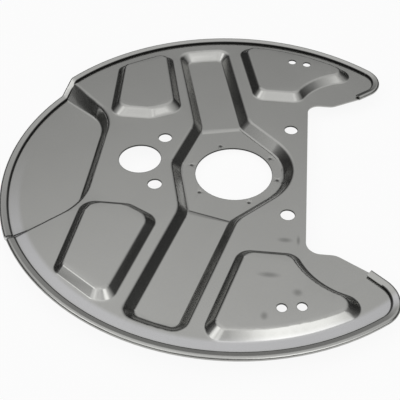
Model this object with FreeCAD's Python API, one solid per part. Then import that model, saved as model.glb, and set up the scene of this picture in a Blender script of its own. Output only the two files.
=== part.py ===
import FreeCAD, Part
import os
from math import atan2, cos, degrees, hypot, pi, radians, sin, sqrt, tan

# Brake dust shield: one steel sheet, pressed, pierced and hemmed round its rim.
# Millimetres. The origin is on the hub bore's axis, in the plane of the face that seats on the hub.
# X points to the caliper cut-out, Z to the side of the disc, and the shape is the same at +Y and -Y.

# Sheet
SHEET = 1.0                  # thickness
BEND = 2.0                   # inside radius of every pressed bend

# Levels of the sheet's underside above the hub seat
PLATE = 6.65
CHANNEL = 0.65
POCKET = 11.85
SECTOR = -3.05

# Slope of the pressed walls
WALL = radians(46)

# Rim
RIM_R = 150.0                # outer edge of the hem
TIP_R = 18.8                 # rounding of the two tips beside the cut-out
TIP_END = radians(-50)       # direction in which the rounding ends
TIP_RUN = 10.6               # straight end of the hem after the rounding

# Hem: the edge is rolled up and back over the top face, and its raw edge comes down on the plate
HEM_ROLL = 0.65              # inside radius of the roll
HEM_LEG = 3.0                # straight part that runs back
HEM_DROOP = radians(16.5)    # its fall towards the raw edge
HEM_FOOT = 3.7               # plate that belongs to the hem, measured in from the rim
HEM_LAP = 0.5                # overlap with the rest of the plate

# Caliper cut-out
CUT_X = 47.5                 # straight edge
CUT_Y = 71.45                # half width
CUT_SHOULDER = 65.0          # where the edge turns off towards the tip
CUT_ANGLE = radians(30.7)
CUT_FILLET = 8.5
SHOULDER_FILLET = 9.0

# Holes
HUB_R = 25.25
WINDOW_X, WINDOW_R = -61.75, 13.75
BOLT_R = 4.5
BOLTS_LEFT = (-48.5, 23.0)
BOLTS_RIGHT = (36.1, 41.3)
RIVET_R = 2.9
RIVETS = ((34.7, 116.7), (45.6, 114.8))

# Stake marks round the hub bore
STAKE_RING, STAKE_R, STAKE_DEPTH = 28.9, 1.5, 0.35
STAKE_ANGLES = (37, -7, -66, -135, 170, 113)

# Channel: a band through the hub, narrowest beside it, with an arm to each end of the Y axis
CHANNEL_END = 14.5           # kept between its ends and the rim
CHANNEL_LEAN = 0.257         # X lost for each mm of Y along an arm
ARM_RIGHT_X = 18.6           # where the arm's right edge would meet the X axis
ARM_LEFT_X = -20.3
HUB_WALL_R = 38.6            # bulge round the bore, at the cut-out side
WAIST_X = -41.5              # edge at the other side, where it meets the X axis
MOUTH_ROUND, FLOOR_ROUND = 8.5, 4.0    # corners of the two ends
BEND_ROUND = 22.0
SHOULDER_ROUND = 12.0

# Hub pad, a shallow step down in the channel's floor
PAD_Y = 45.6                 # where its edge meets the Y axis
PAD_CREASE = 1.6             # width of the slope at that edge
PAD_BEND = 1.9               # bend at the foot of the walls beside it

# Left sector, a deep step down to the rim: crest and foot of its wall
CREST_X, CREST_KNEE, CREST_SLOPE, CREST_ROUND = -89.2, 43.0, 1.02, 40.0
FOOT_X, FOOT_KNEE, FOOT_SLOPE, FOOT_ROUND = -94.4, 43.6, 0.733, 22.0

# Left pockets: foot corners of one of them
LEFT_POCKET = [(-89.8, 42.8), (-61.0, 42.8)]
LEFT_POCKET_Y = 53.5         # where its slanted inner side meets the side beside the arm
LEFT_POCKET_X = -28.34       # the side beside the arm, where it would meet the X axis
LEFT_POCKET_LEAN = 0.2404
LEFT_POCKET_RIM = 18.7, 13.4, 12.3     # kept between its three outer corners and the rim
LEFT_POCKET_TOP = 11.4       # from the first of these to the second, along X
LEFT_POCKET_FAR = -94.2      # X of the third
LEFT_ROUND = 7.0             # corners beside the rim, at the foot; they tighten up the walls
LEFT_ROUND_INNER = 9.0       # the other corners, the same at the crest
TIGHTER = 0.6                # loss of radius for each mm moved in

# Right pockets
RIGHT_POCKET_RIM = 11.7      # kept between its outer side and the rim
RIGHT_POCKET_Y = 73.2        # inner side
RIGHT_POCKET_X = 27.7        # left side, where it would meet the X axis
RIGHT_POCKET_LEAN = 0.257
SCALLOP_X, SCALLOP_Y, SCALLOP_R = 83.0, 59.5, 42.9
RIGHT_ROUND = 9.0

# Forming blocks reach past the rim and below the sheet
BLOCK_R = RIM_R + 15.0
BLOCK_FLOOR = -25.0


def vec(x, y, z=0.0):
    return FreeCAD.Vector(x, y, z)


def polygon(points):
    """Flat face through plan points, facing up whichever way round they run."""
    ring = points + points[:1]
    turn = sum(a[0] * b[1] - b[0] * a[1] for a, b in zip(ring, ring[1:]))
    if turn < 0:
        ring = ring[::-1]
    return Part.Face(Part.makePolygon([vec(*p) for p in ring]))


def disc(radius, x=0.0, y=0.0):
    return Part.Face(Part.Wire(Part.makeCircle(radius, vec(x, y))))


def single(shape):
    """The one face left by a flat cut or union, with its split edges joined."""
    return shape.removeSplitter().Faces[0]


def mirrored(shape):
    return shape.mirror(vec(0, 0, 0), vec(0, 1, 0))


def soften(face, radius_at):
    """Round the corners of a flat face; radius_at gives the radius for a corner's place, 0 for none."""
    slab = face.extrude(vec(0, 0, 1))
    for corner in face.OuterWire.OrderedVertexes:
        radius = radius_at(corner.X, corner.Y)
        if radius <= 0:
            continue
        for edge in slab.Edges:
            ends = [v.Point for v in edge.Vertexes]
            if len(ends) != 2 or hypot(ends[0].x - ends[1].x, ends[0].y - ends[1].y) > 1e-6:
                continue
            if hypot(ends[0].x - corner.X, ends[0].y - corner.Y) < 1e-4:
                slab = slab.makeFillet(radius, [edge])
                break
    bottom = min(slab.Faces, key=lambda f: f.CenterOfMass.z)
    return Part.Face(bottom.OuterWire)


def shrunk(face, distance):
    """Flat face with its sides moved in, its corners kept sharp."""
    return Part.Face(face.OuterWire.makeOffset2D(-distance, 2))


def lifted(shape, z):
    moved = shape.copy()
    moved.translate(vec(0, 0, z))
    return moved


def tapered(lower, z_lower, upper, z_upper):
    """Solid with sloping walls between two flat faces."""
    wires = [lifted(lower, z_lower).OuterWire, lifted(upper, z_upper).OuterWire]
    return Part.makeLoft(wires, True, True)


def prism(face, low=BLOCK_FLOOR - 1, high=40.0):
    return lifted(face, low).extrude(vec(0, 0, high - low))


def shield_outline():
    far = 200.0
    shoulder_y = CUT_Y + (far - CUT_SHOULDER) * tan(CUT_ANGLE)
    points = [(CUT_X, 0), (CUT_X, CUT_Y), (CUT_SHOULDER, CUT_Y), (far, shoulder_y), (far, 0)]
    points = points[1:-1] + [(x, -y) for x, y in points[-2:0:-1]]
    face = single(disc(RIM_R).cut(polygon(points)))

    def radius_at(x, y):
        if x > CUT_SHOULDER + 1:
            return TIP_R
        if x > CUT_X + 1:
            return SHOULDER_FILLET
        return CUT_FILLET if x > 0 and abs(y) > 1 else 0.0
    return soften(face, radius_at)


def channel(inset, end_round):
    """Outline of the channel, moved in from its sharp mouth; only its two ends' corners change with depth."""
    slant = inset * sqrt(1 + CHANNEL_LEAN ** 2)
    right, left, waist = ARM_RIGHT_X - slant, ARM_LEFT_X + slant, WAIST_X + slant
    bulge = HUB_WALL_R - inset
    reach = bulge * sqrt(2)
    knee = (reach - right) / (1 - CHANNEL_LEAN)
    waist_y = (left - waist) / (2 * CHANNEL_LEAN)
    far = CHANNEL_LEAN * RIM_R
    side = [(reach - knee, knee), (right - far, RIM_R), (left - far, RIM_R),
            (left - CHANNEL_LEAN * waist_y, waist_y)]
    face = polygon([(reach, 0)] + side + [(waist, 0)] + [(x, -y) for x, y in side[::-1]])
    tangent = bulge / sqrt(2)
    nose = polygon([(tangent, tangent), (reach, 0), (tangent, -tangent)])
    face = single(face.cut(nose.cut(disc(bulge))).common(disc(RIM_R - CHANNEL_END - inset)))

    def radius_at(x, y):
        if abs(y) > RIM_R / 2:
            return end_round
        if x < right - CHANNEL_LEAN * knee - 1:
            return BEND_ROUND
        return SHOULDER_ROUND if abs(y) > tangent + 1 else 0.0
    return soften(face, radius_at)


def sector(x, knee, slope, radius):
    far = 110.0
    face = polygon([(x, -knee), (x, knee), (x - far, knee + slope * far), (x - far, -knee - slope * far)])
    return soften(face, lambda px, py: radius if px > x - 1 else 0.0)


def left_pocket(inset):
    near, middle, far = [RIM_R - margin for margin in LEFT_POCKET_RIM]
    # Where the side beside the arm comes within the first distance of the rim
    spread = 1 + LEFT_POCKET_LEAN ** 2
    top = (LEFT_POCKET_X * LEFT_POCKET_LEAN + sqrt(near ** 2 * spread - LEFT_POCKET_X ** 2)) / spread
    side = [(LEFT_POCKET_X - LEFT_POCKET_LEAN * y, y) for y in (LEFT_POCKET_Y, top)]
    turn = side[1][0] - LEFT_POCKET_TOP
    outer = [(turn, sqrt(middle ** 2 - turn ** 2)), (LEFT_POCKET_FAR, sqrt(far ** 2 - LEFT_POCKET_FAR ** 2))]

    def radius_at(x, y):
        return LEFT_ROUND - TIGHTER * inset if y > RIM_R / 2 else LEFT_ROUND_INNER
    return soften(shrunk(polygon(LEFT_POCKET + side + outer), inset), radius_at)


def right_pocket(inset):
    left = RIGHT_POCKET_X + inset * sqrt(1 + RIGHT_POCKET_LEAN ** 2)
    low = RIGHT_POCKET_Y + inset
    face = polygon([(left - RIGHT_POCKET_LEAN * low, low), (RIM_R, low), (RIM_R, RIM_R),
                    (left - RIGHT_POCKET_LEAN * RIM_R, RIM_R)])
    face = face.common(disc(RIM_R - RIGHT_POCKET_RIM - inset))
    face = face.cut(disc(SCALLOP_R + inset, SCALLOP_X, SCALLOP_Y))
    return soften(single(face), lambda x, y: RIGHT_ROUND - TIGHTER * inset)


def wall_run(drop):
    return drop / tan(WALL)


def level_edges(body, z):
    """Edges of a block that run level at a height, without those on its outer side."""
    found = []
    for edge in body.Edges:
        box = edge.BoundBox
        middle = edge.valueAt((edge.FirstParameter + edge.LastParameter) / 2)
        level = abs(box.ZMin - z) < 1e-4 and abs(box.ZMax - z) < 1e-4
        if level and hypot(middle.x, middle.y) < BLOCK_R - 1e-3:
            found.append(edge)
    return found


def block(skin):
    """Forming block whose top is one skin of the pressed sheet: 0 for the underside, 1 for the top face."""
    shift = SHEET * skin
    crest_bend = BEND + SHEET * skin
    foot_bend = BEND + SHEET * (1 - skin)
    # The folds of the underside lie further up every slope than those of the top face
    creep = SHEET * tan(WALL / 2) * (1 - skin)
    plate = PLATE + shift
    body = lifted(disc(BLOCK_R), BLOCK_FLOOR).extrude(vec(0, 0, plate - BLOCK_FLOOR))
    upper = channel(-creep, MOUTH_ROUND)
    lower = channel(wall_run(PLATE - CHANNEL) - creep, FLOOR_ROUND)
    body = body.cut(tapered(lower, CHANNEL + shift, upper, plate))
    sector_creep = SHEET * tan(atan2(PLATE - SECTOR, CREST_X - FOOT_X) / 2) * (1 - skin)
    upper = sector(CREST_X + sector_creep, CREST_KNEE, CREST_SLOPE, CREST_ROUND)
    lower = sector(FOOT_X + sector_creep, FOOT_KNEE, FOOT_SLOPE, FOOT_ROUND)
    body = body.cut(tapered(lower, SECTOR + shift, upper, plate)).Solids[0]
    body = body.makeFillet(crest_bend, level_edges(body, plate))
    feet = level_edges(body, CHANNEL + shift) + level_edges(body, SECTOR + shift)
    body = body.makeFillet(foot_bend, feet)
    for pocket in (left_pocket, right_pocket):
        foot = pocket(-creep)
        crest = pocket(wall_run(POCKET - PLATE) - creep)
        for side in (False, True):
            boss = tapered(foot, plate, crest, POCKET + shift)
            rim = lifted(foot, plate).OuterWire
            if side:
                boss, rim = mirrored(boss), mirrored(rim)
            boss = boss.makeFillet(crest_bend, level_edges(boss, POCKET + shift))
            body = body.fuse(boss).Solids[0]
            feet = [e for e in level_edges(body, plate) if rim.distToShape(Part.Vertex(
                e.valueAt((e.FirstParameter + e.LastParameter) / 2)))[0] < 1e-3]
            body = body.makeFillet(foot_bend, feet)
    return body


def hub_pad(skin):
    """Cutter for the hub pad: the channel's walls carried down to the seat, between two shallow creases."""
    creep = SHEET * tan(WALL / 2) * (1 - skin)
    floor = channel(wall_run(PLATE) - creep, FLOOR_ROUND)
    mouth = channel(wall_run(PLATE - CHANNEL) - creep, FLOOR_ROUND)
    deep = tapered(floor, SHEET * skin, mouth, CHANNEL + SHEET * skin)
    faces = []
    for inset in (0.0, PAD_CREASE):
        high = PAD_Y - inset * sqrt(1 + CHANNEL_LEAN ** 2)
        band = [(x, high + CHANNEL_LEAN * x) for x in (-RIM_R / 2, RIM_R / 2)]
        faces.append(polygon(band + [(x, -y) for x, y in band[::-1]]))
    return deep.common(tapered(faces[1], SHEET * skin, faces[0], CHANNEL + SHEET * skin))


def with_pad(body, skin):
    """Block with the hub pad cut, and the foot of the walls beside it rounded."""
    body = body.cut(hub_pad(skin)).Solids[0]
    feet = []
    for edge in level_edges(body, SHEET * skin):
        if abs(edge.CenterOfMass.y) < PAD_Y - PAD_CREASE:
            feet.append(edge)
    return body.makeFillet(PAD_BEND, feet)


def tip_centre():
    """Centre of the tip's rounding, tangent to the rim and to the slanted edge."""
    across = (-sin(CUT_ANGLE), cos(CUT_ANGLE))
    off = CUT_SHOULDER * across[0] + CUT_Y * across[1] + TIP_R
    along = sqrt((RIM_R - TIP_R) ** 2 - off ** 2)
    return off * across[0] + along * cos(CUT_ANGLE), off * across[1] + along * sin(CUT_ANGLE)


def turned(points, x, y, angle):
    """Plan points given along and to the left of a direction from a place."""
    return [(x + u * cos(angle) - v * sin(angle), y + u * sin(angle) + v * cos(angle)) for u, v in points]


def rim_ramp(body):
    """Points of the rim from the plate's level down to the left sector's, at +Y."""
    points = []
    for face in Part.makeCylinder(RIM_R, 60, vec(0, 0, BLOCK_FLOOR + 5)).Faces:
        for edge in face.section(body).Edges:
            if edge.BoundBox.ZLength > 0.01 and edge.BoundBox.YMin > 0:
                points += edge.discretize(4)
    points.sort(key=lambda p: atan2(p.y, p.x))
    kept = points[:1]
    for point in points[1:]:
        if point.distanceToPoint(kept[-1]) > 0.05:
            kept.append(point)
    return kept


def hem_profile(place, out):
    """Cross-section of the hem in an upright plane, from a point of its outer edge and the way out."""
    outer = HEM_ROLL + SHEET
    over = pi + HEM_DROOP

    def at(deep, high):
        return place - out * deep + vec(0, 0, high - SHEET)

    def round_to(radius, angle):
        """Point of the roll, at an angle from straight down round to the top."""
        return at(outer - radius * sin(angle), outer - radius * cos(angle))

    def raw(radius):
        leg = out * -HEM_LEG * cos(HEM_DROOP) + vec(0, 0, -HEM_LEG * sin(HEM_DROOP))
        return round_to(radius, over) + leg

    inner_bend = Part.Arc(round_to(HEM_ROLL, over), round_to(HEM_ROLL, over / 2), at(outer, SHEET))
    return Part.Wire([Part.makeLine(at(HEM_FOOT, 0), at(outer, 0)),
                      Part.Arc(at(outer, 0), round_to(outer, over / 2), round_to(outer, over)).toShape(),
                      Part.makeLine(round_to(outer, over), raw(outer)),
                      Part.makeLine(raw(outer), raw(HEM_ROLL)),
                      Part.makeLine(raw(HEM_ROLL), round_to(HEM_ROLL, over)),
                      inner_bend.toShape(),
                      Part.makeLine(at(outer, SHEET), at(HEM_FOOT, SHEET)),
                      Part.makeLine(at(HEM_FOOT, SHEET), at(HEM_FOOT, 0))])


def hem_roll(body):
    """The hem: turned round the rim and the tips, and lofted down the ramps of the left sector."""
    x, y = tip_centre()
    turn = atan2(y, x)
    level = PLATE + SHEET
    up = vec(0, 0, 1)

    def on_rim(point):
        out = vec(point.x, point.y) / hypot(point.x, point.y)
        return hem_profile(point, out)

    def turned_about(wire, centre, angle):
        return Part.Face(wire).revolve(centre, up, degrees(angle))

    out = vec(cos(TIP_END), sin(TIP_END))
    start = vec(x, y, level) + out * TIP_R
    wire = hem_profile(start, out)
    straight = Part.Face(wire).extrude(vec(sin(TIP_END), -cos(TIP_END)) * TIP_RUN)
    tip = turned_about(wire, vec(x, y), turn - TIP_END)
    ramp = rim_ramp(body)
    crest, foot = ramp[0], ramp[-1]
    rim = turned_about(on_rim(vec(RIM_R * cos(turn), RIM_R * sin(turn), level)), vec(0, 0),
                       atan2(crest.y, crest.x) - turn)
    slope = Part.makeLoft([on_rim(point) for point in ramp], True, False)
    bottom = turned_about(on_rim(foot), vec(0, 0), 2 * (pi - atan2(foot.y, foot.x)))
    side = [straight, tip, rim, slope]
    return bottom.fuse(side + [mirrored(piece) for piece in side])


def inside_hem():
    """Upright prism over the plate inside the hem."""
    x, y = tip_centre()
    reach = HEM_FOOT - HEM_LAP
    far = 2 * RIM_R
    turn = atan2(y, x)
    edge_x, edge_y = far * cos(turn), far * sin(turn)
    wedge = polygon([(0, 0), (edge_x, edge_y), (far, 0), (edge_x, -edge_y)])
    rim = disc(RIM_R + 1).cut(disc(RIM_R - reach)).cut(wedge)
    tip = disc(TIP_R + 1, x, y).cut(disc(TIP_R - reach, x, y))
    fan = polygon([(x, y)] + turned([(far, 0)], x, y, TIP_END) + turned([(far, 0)], x, y, turn))
    corners = [(TIP_R + 1, 0), (TIP_R + 1, -TIP_RUN), (TIP_R - reach, -TIP_RUN), (TIP_R - reach, 0)]
    strip = polygon(turned(corners, x, y, TIP_END))
    side = [prism(face) for face in tip.common(fan).Faces + [strip]]
    edge = [prism(face) for face in rim.Faces] + side + [mirrored(piece) for piece in side]
    return prism(shield_outline()).cut(edge)


# Pressed plate up to the hem, then the hem
top = block(1)
roll = hem_roll(top)
plate = with_pad(top, 1).cut(with_pad(block(0), 0)).common(inside_hem())
sheet = plate.Solids[0].fuse(roll.Solids[0])

# Holes
bores = [(0, 0, HUB_R), (WINDOW_X, 0, WINDOW_R)]
for side in (1, -1):
    bores += [(x, side * y, BOLT_R) for x, y in (BOLTS_LEFT, BOLTS_RIGHT)]
    bores += [(x, side * y, RIVET_R) for x, y in RIVETS]
sheet = sheet.cut([prism(disc(radius, x, y)) for x, y, radius in bores])

# Stake marks, shallow ball-shaped dents in the hub pad
ball = (STAKE_R ** 2 + STAKE_DEPTH ** 2) / (2 * STAKE_DEPTH)
marks = []
for angle in STAKE_ANGLES:
    x, y = turned([(STAKE_RING, 0)], 0, 0, radians(angle))[0]
    marks.append(Part.makeSphere(ball, vec(x, y, SHEET - STAKE_DEPTH + ball)))
sheet = sheet.cut(marks)

os.makedirs("parts", exist_ok=True)
sheet.Solids[0].exportStep("parts/dust_shield.step")
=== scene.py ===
from math import cos, radians, sin

import bmesh
import bpy
from mathutils import Matrix, Vector


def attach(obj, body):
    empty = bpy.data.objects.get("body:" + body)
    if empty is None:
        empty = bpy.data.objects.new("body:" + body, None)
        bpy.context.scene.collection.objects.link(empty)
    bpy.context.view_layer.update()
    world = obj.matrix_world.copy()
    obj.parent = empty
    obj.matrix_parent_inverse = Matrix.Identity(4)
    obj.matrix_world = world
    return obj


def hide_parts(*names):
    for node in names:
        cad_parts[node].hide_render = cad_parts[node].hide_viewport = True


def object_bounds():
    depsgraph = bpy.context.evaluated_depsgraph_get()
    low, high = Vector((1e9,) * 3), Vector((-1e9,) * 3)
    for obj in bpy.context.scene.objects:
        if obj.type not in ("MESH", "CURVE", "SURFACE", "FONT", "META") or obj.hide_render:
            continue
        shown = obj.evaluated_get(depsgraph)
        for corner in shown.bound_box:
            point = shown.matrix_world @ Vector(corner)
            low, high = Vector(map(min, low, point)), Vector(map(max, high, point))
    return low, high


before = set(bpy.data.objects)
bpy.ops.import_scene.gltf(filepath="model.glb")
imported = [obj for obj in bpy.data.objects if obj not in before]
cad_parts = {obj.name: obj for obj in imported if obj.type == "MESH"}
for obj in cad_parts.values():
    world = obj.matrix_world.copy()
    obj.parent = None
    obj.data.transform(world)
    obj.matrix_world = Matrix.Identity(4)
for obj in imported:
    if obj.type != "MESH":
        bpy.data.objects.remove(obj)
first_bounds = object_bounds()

# Lengths are in metres, in the part's own frame: X to the caliper cut-out, Z to the side of the disc.
# A pair of values gives where a soft step starts and ends.

# Levels of the sheet
PLATE_TOP = 0.00765
PLATE_SKIN = (0.0070, 0.0073)       # inside the sheet, between the plate's underside and its top face
SECTOR_SKIN = (-0.0028, -0.0025)    # the same in the left sector
RAMP_TOP = (0.0040, 0.0060)         # where the rim's ramps out of the left sector near the plate

# Rim, and the rounding that ends it at each tip, the same at -y
RIM = 0.150
TIP_X, TIP_Y, TIP_R = 0.08128, 0.10299, 0.0188
TIP_TURN = radians(51.7)            # direction in which the rim ends and the rounding starts
TIP_FAN = 0.63                      # the rounding covers directions whose cosine is above this
END_SOFT = (-0.0005, 0.0005)

# Bands beside the rim: their two distances from it, and how far they fade outside; the first holds painted
# shade along the hem's raw edge, the second a painted pale sheen
HEM_GAP = (0.00475, 0.00545, 0.0005)
MARGIN = (0.0075, 0.0105, 0.0035)
MARGIN_END = (-0.09, 0.02)          # Y over which the painted sheen fades out

# Holes as x, y and radius, the same at -y
HOLES = [(0.0, 0.0, 0.02525), (-0.06175, 0.0, 0.01375), (-0.0485, 0.023, 0.0045), (0.0361, 0.0413, 0.0045),
         (0.0347, 0.1167, 0.0029), (0.0456, 0.1148, 0.0029)]
SHEARED_NEAR, SHEARED_FAR = 0.00005, 0.0003     # past a hole's wall

# Stake marks round the hub bore, with angles in degrees
STAKE_RING = 0.0289
STAKE_ANGLES = (37, -7, -66, -135, 170, 113)
STAKE_SOFT = (0.0006, 0.0014)       # distances from the middle of a mark

# Smudges as x, y and half sizes
SMUDGES = [(0.0269, -0.0945, 0.0065, 0.0022), (0.0430, -0.1055, 0.0030, 0.0028),
           (0.0256, -0.1230, 0.0022, 0.0030), (0.0351, -0.0624, 0.0045, 0.0022),
           (0.0430, -0.0620, 0.0012, 0.0040)]
SMUDGE_SOFT = (0.1, 1.3)            # in half sizes

# Bare steel
STEEL = 0.42
STEEL_TINT = (1.0, 1.0, 0.965)
CLOUD = {"Scale": 28.0, "Detail": 3.0, "Roughness": 0.5}
GRAIN = {"Scale": 900.0, "Detail": 2.0, "Roughness": 0.6}
EVEN, CLOUDY, GRAINY = 0.93, 0.08, 0.06         # shares in the steel's colour
# Of these darkenings, the one along the hem's raw edge is painted shade.
SHEARED_DARK, CREVICE_PAINTED_SHADE, STAKE_DARK, SMUDGE_DARK = 0.85, 0.8, 0.7, 0.35
# Painted sheen: a paler, slightly blue strip inside the hem.
MARGIN_PAINTED_SHEEN, MARGIN_SHEEN_BLUE = 0.3, 0.05
ROUGH, ROUGH_CLOUD, ROUGH_MARKS = 0.20, 0.04, 0.3
SMOOTH_ANGLE = radians(38)          # folds softer than this are shaded round
MERGE = 1e-6

# White card under the shield, a little larger than the camera sees, on a pale bench
CARD = [(-0.235, 0.205), (-0.112, -0.195), (0.11, -0.175), (0.145, 0.26)]
CARD_GREY, CARD_GLOW = 0.8, 0.9
CARD_BELOW = 0.0002                 # below the shield
BENCH_HALF = 2.5
BENCH_GREY = 0.45
BENCH_BELOW = 0.0005                # below the card

# Studio: parts of the ceiling as level, and the heights (sine of the angle) between which it comes in
CEILING_AHEAD = [(0.28, 0.1, 0.42), (0.45, 0.34, 0.95)]
CEILING_ASIDE = [(0.03, 0.0, 0.2), (0.63, 0.3, 0.88)]
ASIDE = (0.02, 0.2)                 # square of the way sideways
# Paler parts: level, then the way to the left or towards the camera, then the heights
SHEEN_LEFT = (0.1, (0.0, 0.25), (0.6, 0.8))
FRONT_WALL = (0.13, (-0.1, 0.35), (0.4, 0.8))
# Lamps: level, azimuth rightwards from the camera's side, height, half widths of the whole and of its core
LAMPS = [(1.35, 34, 32, 24, 6), (0.8, 62, 21, 22, 6), (1.25, -66, 37, 18, 4), (0.8, -32, 31, 20, 5)]
STUDIO_LEVEL = 1.24
SOFTBOX_PLACE = (0.0, -1.1, 1.1)
SOFTBOX_SIZE = (1.6, 1.4)
SOFTBOX_WATTS = 1.0

# Camera of the photograph
IMAGE = 400                         # pixels along each side
FOCAL_PX = 782.9
TARGET = Vector((0.0, 0.0, PLATE_TOP))      # on the hub axis
TARGET_PX = (234.08, 165.61)        # where that point shows
ELEVATION, AZIMUTH, ROLL = radians(41.62), radians(2.965), radians(2.403)
DISTANCE = 0.5098
SENSOR = 36.0                       # millimetres
NEAREST = 0.01


class Socket:
    """A node's output that can be used in Python expressions."""

    def __init__(self, tree, value):
        self.tree = tree
        self.value = value

    def maths(self, operation, *values):
        return self.tree.add("ShaderNodeMath", {"operation": operation}, dict(enumerate(values)))["Value"]

    def __add__(self, other):
        return self.maths("ADD", self, other)

    def __radd__(self, other):
        return self.maths("ADD", other, self)

    def __sub__(self, other):
        return self.maths("SUBTRACT", self, other)

    def __rsub__(self, other):
        return self.maths("SUBTRACT", other, self)

    def __mul__(self, other):
        return self.maths("MULTIPLY", self, other)

    def __rmul__(self, other):
        return self.maths("MULTIPLY", other, self)

    def __truediv__(self, other):
        return self.maths("DIVIDE", self, other)

    def __rtruediv__(self, other):
        return self.maths("DIVIDE", other, self)

    def __pow__(self, other):
        return self.maths("POWER", self, other)

    def __rpow__(self, other):
        return self.maths("POWER", other, self)

    def smooth(self, low, high):
        """0 below low, 1 above high, and a soft step between."""
        step = self.tree.add("ShaderNodeMapRange", {"interpolation_type": "SMOOTHSTEP"},
                             {"Value": self, "From Min": low, "From Max": high})
        return step["Result"]


class Tree:
    """The emptied node tree of a material or of the world."""

    def __init__(self, owner):
        owner.use_nodes = True
        self.nodes = owner.node_tree.nodes
        self.links = owner.node_tree.links
        self.nodes.clear()

    def add(self, kind, settings=None, inputs=None):
        """A node by its type, its settings, then the values or links of its sockets; gives its outputs."""
        made = self.nodes.new(kind)
        for name, value in (settings or {}).items():
            setattr(made, name, value)
        for name, value in (inputs or {}).items():
            if isinstance(value, Socket):
                self.links.new(value.value, made.inputs[name])
            else:
                made.inputs[name].default_value = value
        return {output.name: Socket(self, output) for output in made.outputs}

    def axes(self, vector):
        parts = self.add("ShaderNodeSeparateXYZ", {}, {"Vector": vector})
        return parts["X"], parts["Y"], parts["Z"]


def grey(level):
    return (level, level, level, 1.0)


def length(a, b):
    return (a * a + b * b) ** 0.5


def largest(marks):
    most = marks[0]
    for mark in marks[1:]:
        most = most.maths("MAXIMUM", most, mark)
    return most


def band(distance, start, end, soft):
    """1 between two distances, 0 outside."""
    return distance.smooth(start - soft, start) * (1.0 - distance.smooth(end, end + soft))


def sheared_edges(x, side):
    """Walls of the holes and their rims."""
    marks = []
    for hole_x, hole_y, radius in HOLES:
        from_middle = length(x - hole_x, side - hole_y)
        marks.append(1.0 - from_middle.smooth(radius + SHEARED_NEAR, radius + SHEARED_FAR))
    return largest(marks)


def painted_crevice_shade(x, side, z):
    """Painted shade in the narrow crevice along the raw edge of the hem, on the upper side."""
    before_tip = (side * cos(TIP_TURN) - x * sin(TIP_TURN)).smooth(*END_SOFT)
    rim = band(RIM - length(x, side), *HEM_GAP) * before_tip
    from_tip = length(x - TIP_X, side - TIP_Y)
    on_rounding = (x - TIP_X - TIP_FAN * from_tip).smooth(*END_SOFT)
    tip = band(TIP_R - from_tip, *HEM_GAP) * on_rounding
    upper = z.smooth(*PLATE_SKIN) + z.smooth(*SECTOR_SKIN) * (1.0 - z.smooth(*RAMP_TOP))
    return largest([rim, tip]) * upper


def stake_marks(x, y):
    marks = []
    for angle in STAKE_ANGLES:
        off_x = x - STAKE_RING * cos(radians(angle))
        off_y = y - STAKE_RING * sin(radians(angle))
        marks.append(1.0 - length(off_x, off_y).smooth(*STAKE_SOFT))
    return largest(marks)


def smudges(x, y):
    """Faint dark stains."""
    marks = []
    for spot_x, spot_y, wide, high in SMUDGES:
        marks.append(1.0 - length((x - spot_x) / wide, (y - spot_y) / high).smooth(*SMUDGE_SOFT))
    return largest(marks)


def painted_margin_sheen(x, y, z):
    """Painted sheen: a paler, slightly blue strip inside the hem, strongest at -Y."""
    return band(RIM - length(x, y), *MARGIN) * (1.0 - y.smooth(*MARGIN_END)) * z.smooth(*SECTOR_SKIN)


def bare_steel():
    material = bpy.data.materials.new("bare_steel")
    tree = Tree(material)
    place = tree.add("ShaderNodeTexCoord")["Object"]
    x, y, z = tree.axes(place)
    side = y.maths("ABSOLUTE", y)
    cloud = tree.add("ShaderNodeTexNoise", {"noise_dimensions": "3D"}, {"Vector": place, **CLOUD})["Fac"]
    grain = tree.add("ShaderNodeTexNoise", {"noise_dimensions": "3D"}, {"Vector": place, **GRAIN})["Fac"]
    sheared = sheared_edges(x, side)
    crevice_shade = painted_crevice_shade(x, side, z)
    stakes = stake_marks(x, y)
    margin_sheen = painted_margin_sheen(x, y, z)

    level = STEEL * (EVEN + CLOUDY * cloud + GRAINY * grain)
    # Painted shade along the hem's raw edge darkens the steel here, and a painted pale sheen lightens it
    # inside the hem.
    level = level * (1.0 - SHEARED_DARK * sheared) * (1.0 - CREVICE_PAINTED_SHADE * crevice_shade) * (1.0 - STAKE_DARK * stakes)
    level = level * (1.0 - SMUDGE_DARK * smudges(x, y)) * (1.0 + MARGIN_PAINTED_SHEEN * margin_sheen)
    red, green, blue = STEEL_TINT
    colour = tree.add("ShaderNodeCombineColor", {}, {
        "Red": level * red, "Green": level * green, "Blue": level * (blue + MARGIN_SHEEN_BLUE * margin_sheen)})
    roughness = ROUGH + ROUGH_CLOUD * cloud + ROUGH_MARKS * largest([sheared, crevice_shade, stakes])
    steel = tree.add("ShaderNodeBsdfPrincipled", {}, {
        "Base Color": colour["Color"], "Metallic": 1.0, "Roughness": roughness})
    tree.add("ShaderNodeOutputMaterial", {}, {"Surface": steel["BSDF"]})
    return material


def merged_copy(source, name):
    """Copy of a CAD node with its loose triangles joined and its bends shaded round."""
    mesh = source.data.copy()
    mesh.name = name
    work = bmesh.new()
    work.from_mesh(mesh)
    bmesh.ops.remove_doubles(work, verts=work.verts, dist=MERGE)
    for face in work.faces:
        face.smooth = True
    for edge in work.edges:
        edge.smooth = len(edge.link_faces) == 2 and edge.calc_face_angle(0.0) < SMOOTH_ANGLE
    work.to_mesh(mesh)
    work.free()
    piece = bpy.data.objects.new(name, mesh)
    bpy.context.scene.collection.objects.link(piece)
    return piece


def dress_sheet():
    piece = merged_copy(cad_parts["dust_shield"], "pressed_sheet")
    piece.data.materials.clear()
    piece.data.materials.append(bare_steel())
    weighted = piece.modifiers.new("even_normals", "WEIGHTED_NORMAL")
    weighted.keep_sharp = True
    weighted.weight = 50
    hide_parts("dust_shield")
    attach(piece, "root")


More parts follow.
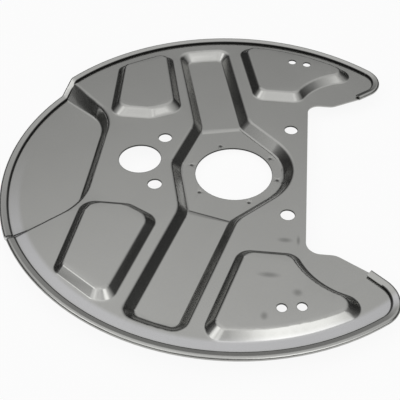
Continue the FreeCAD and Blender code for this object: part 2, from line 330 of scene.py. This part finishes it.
def white_card():
    """Card that looks white to the camera and in reflections, and keeps the shield's shadow."""
    material = bpy.data.materials.new("white_card")
    tree = Tree(material)
    ray = tree.add("ShaderNodeLightPath")
    seen = ray["Is Camera Ray"] + ray["Is Glossy Ray"]
    card = tree.add("ShaderNodeBsdfDiffuse", {}, {"Color": grey(CARD_GREY)})
    glow = tree.add("ShaderNodeEmission", {}, {"Color": grey(1.0), "Strength": 1.0})
    mix = tree.add("ShaderNodeMixShader", {}, {0: CARD_GLOW * seen, 1: card["BSDF"], 2: glow["Emission"]})
    tree.add("ShaderNodeOutputMaterial", {}, {"Surface": mix["Shader"]})
    return material


def pale_bench():
    material = bpy.data.materials.new("pale_bench")
    tree = Tree(material)
    bench = tree.add("ShaderNodeBsdfDiffuse", {}, {"Color": grey(BENCH_GREY)})
    tree.add("ShaderNodeOutputMaterial", {}, {"Surface": bench["BSDF"]})
    return material


def lay_flat(name, corners, height, material):
    mesh = bpy.data.meshes.new(name)
    mesh.from_pydata([(x, y, height) for x, y in corners], [], [range(len(corners))])
    mesh.materials.append(material)
    flat = bpy.data.objects.new(name, mesh)
    bpy.context.scene.collection.objects.link(flat)


def lay_floor(height):
    lay_flat("floor_card", CARD, height, white_card())
    half = BENCH_HALF
    corners = [(-half, -half), (half, -half), (half, half), (-half, half)]
    lay_flat("floor_bench", corners, height - BENCH_BELOW, pale_bench())


def hang_softbox():
    """Large lamp over the camera's side, facing the shield."""
    lamp = bpy.data.lights.new("overhead", "AREA")
    lamp.shape = "RECTANGLE"
    lamp.size, lamp.size_y = SOFTBOX_SIZE
    lamp.energy = SOFTBOX_WATTS
    softbox = bpy.data.objects.new("overhead", lamp)
    softbox.location = SOFTBOX_PLACE
    softbox.rotation_euler = Vector(SOFTBOX_PLACE).to_track_quat("Z", "Y").to_euler()
    bpy.context.scene.collection.objects.link(softbox)


def set_studio():
    world = bpy.data.worlds.new("studio")
    tree = Tree(world)
    x, y, z = tree.axes(tree.add("ShaderNodeTexCoord")["Generated"])

    def overhead(lower, upper):
        """Two parts of the ceiling together."""
        return lower[0] * z.smooth(*lower[1:]) + upper[0] * z.smooth(*upper[1:])

    def paler(way, level, ways, heights):
        return level * way.smooth(*ways) * z.smooth(*heights)

    def towards(azimuth, height, whole, core):
        """1 within the core round a direction, 0 beyond the whole, all in degrees."""
        azimuth, height = radians(azimuth), radians(height)
        along = x * (sin(azimuth) * cos(height)) - y * (cos(azimuth) * cos(height)) + z * sin(height)
        return along.smooth(cos(radians(whole)), cos(radians(core)))

    # The ceiling fades towards the horizon, and to the dark walls of the room on both sides
    ahead = overhead(*CEILING_AHEAD)
    level = ahead + (x * x).smooth(*ASIDE) * (overhead(*CEILING_ASIDE) - ahead)
    level = level + paler(-1.0 * x, *SHEEN_LEFT) + paler(-1.0 * y, *FRONT_WALL)
    for strength, azimuth, height, whole, core in LAMPS:
        level = level + strength * towards(azimuth, height, whole, core)
    light = tree.add("ShaderNodeBackground", {}, {"Color": grey(1.0), "Strength": STUDIO_LEVEL * level})
    tree.add("ShaderNodeOutputWorld", {}, {"Surface": light["Background"]})
    bpy.context.scene.world = world


def set_camera():
    back = Vector((sin(AZIMUTH) * cos(ELEVATION), -cos(AZIMUTH) * cos(ELEVATION), sin(ELEVATION)))
    level = Vector((cos(AZIMUTH), sin(AZIMUTH), 0.0))
    above = back.cross(level)
    right = cos(ROLL) * level + sin(ROLL) * above
    up = -sin(ROLL) * level + cos(ROLL) * above
    lens = bpy.data.cameras.new("photo")
    lens.sensor_fit = "HORIZONTAL"
    lens.sensor_width = SENSOR
    lens.lens = FOCAL_PX / IMAGE * SENSOR
    lens.shift_x = (IMAGE / 2 - TARGET_PX[0]) / IMAGE
    lens.shift_y = (TARGET_PX[1] - IMAGE / 2) / IMAGE
    lens.clip_start = NEAREST
    camera = bpy.data.objects.new("photo", lens)
    turn = Matrix((right, up, back)).transposed().to_4x4()
    camera.matrix_world = Matrix.Translation(TARGET + DISTANCE * back) @ turn
    bpy.context.scene.collection.objects.link(camera)
    bpy.context.scene.camera = camera


dress_sheet()
lay_floor(first_bounds[0][2] - CARD_BELOW)
hang_softbox()
set_studio()
set_camera()
bpy.context.scene.view_settings.view_transform = "Standard"
